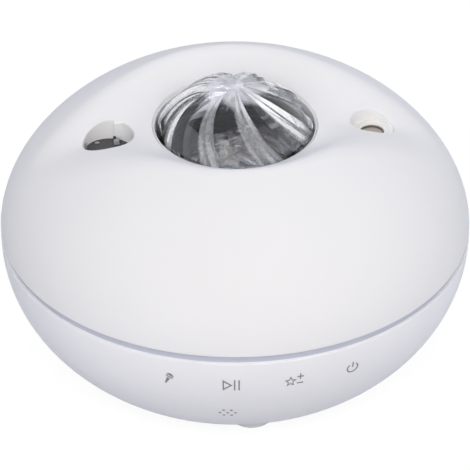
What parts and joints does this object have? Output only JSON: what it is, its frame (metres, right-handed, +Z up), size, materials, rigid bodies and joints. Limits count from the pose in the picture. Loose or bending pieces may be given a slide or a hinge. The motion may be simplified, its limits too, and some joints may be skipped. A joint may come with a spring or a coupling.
{
  "type": "star projector",
  "caption": "Flattened-egg star projector with a clear rippled dome in a valley across its crown, a laser opening at each end of the valley and touch keys on its front.",
  "frame": {"origin": "on the table plane, under the centre of the round hull", "axes": "+Z up through the centre of the dome, front with its touch keys towards -Y, the valley along X with the dark window on -X and the stepped bezel on +X"},
  "size_m": [0.165, 0.165, 0.1056],
  "materials": {
    "white_shell": "satin",
    "seam_plastic": "satin",
    "clear_dome": "polished",
    "foot_silicone": "matte",
    "black_plastic": "matte",
    "dark_window": "polished",
    "clear_lens": "polished",
    "pink_lens": "polished",
    "cream_plastic": "satin",
    "nylon": "satin",
    "steel": "brushed",
    "zinc": "polished",
    "brass": "machined",
    "aluminium": "machined",
    "green_board": "satin",
    "white_board": "satin",
    "chip_black": "matte",
    "led_yellow": "satin",
    "foam": "matte",
    "magnet_black": "matte",
    "paper_cone": "matte",
    "lead_black": "satin"
  },
  "bodies": {
    "housing": {"top_shell": "white_shell", "bottom_shell": "white_shell", "seam_ring": "seam_plastic", "ripple_dome": "clear_dome", "foot_front": "foot_silicone", "foot_right": "foot_silicone", "foot_left": "foot_silicone", "shell_screws": "steel", "lamp_chamber": "black_plastic", "gear_clip": "black_plastic", "gear_motor": "zinc", "chamber_screws": "steel", "motor_screws": "steel", "condenser_lens": "clear_lens", "lens_clip": "steel", "led_board": "white_board", "led_emitters": "led_yellow", "heat_sink": "aluminium", "sink_screws": "steel", "left_window": "dark_window", "laser_frame": "black_plastic", "star_laser": "brass", "grating_motor": "zinc", "frame_screws": "steel", "lens_bezel": "cream_plastic", "right_lens": "pink_lens", "right_laser": "brass", "laser_clamp": "aluminium", "clamp_screws": "steel", "touch_strip": "green_board", "microphone": "zinc", "main_board": "green_board", "board_chips": "chip_black", "usb_socket": "zinc", "board_screws": "steel", "speaker_gasket": "foam", "speaker_frame": "black_plastic", "speaker_magnet": "magnet_black", "speaker_surround": "foam", "speaker_screws": "steel", "lamp_lead": "lead_black", "laser_lead": "lead_black"},
    "ripple_rotor": {"ring_gear": "nylon", "ripple_disc": "clear_lens"},
    "drive_rotor": {"drive_pinion": "nylon", "drive_shaft": "steel"},
    "grating_rotor": {"grating_wheel": "black_plastic", "grating_film": "clear_lens", "grating_shaft": "steel"},
    "cone": {"speaker_cone": "paper_cone"}
  },
  "joints": [
    {"name": "ripple_spin", "type": "hinge", "parent": "housing", "child": "ripple_rotor", "pos_m": [0, 0, 0.068], "axis": [0, 0, 1], "continuous": true},
    {"name": "drive_spin", "type": "hinge", "parent": "housing", "child": "drive_rotor", "pos_m": [0, 0.031, 0.066], "axis": [0, 0, 1], "continuous": true},
    {"name": "grating_spin", "type": "hinge", "parent": "housing", "child": "grating_rotor", "pos_m": [-0.044, -0.01, 0.069], "axis": [0, 0, 1], "continuous": true},
    {"name": "cone_travel", "type": "slide", "parent": "housing", "child": "cone", "axis": [0, 0, 1], "range_m": [-0.0008, 0.0008], "stiffness_N_per_m": 800, "deforming": ["speaker_surround"]}
  ],
  "couplings": [
    {"joint": "drive_spin", "follows": "ripple_spin", "ratio": -4.1667}
  ]
}
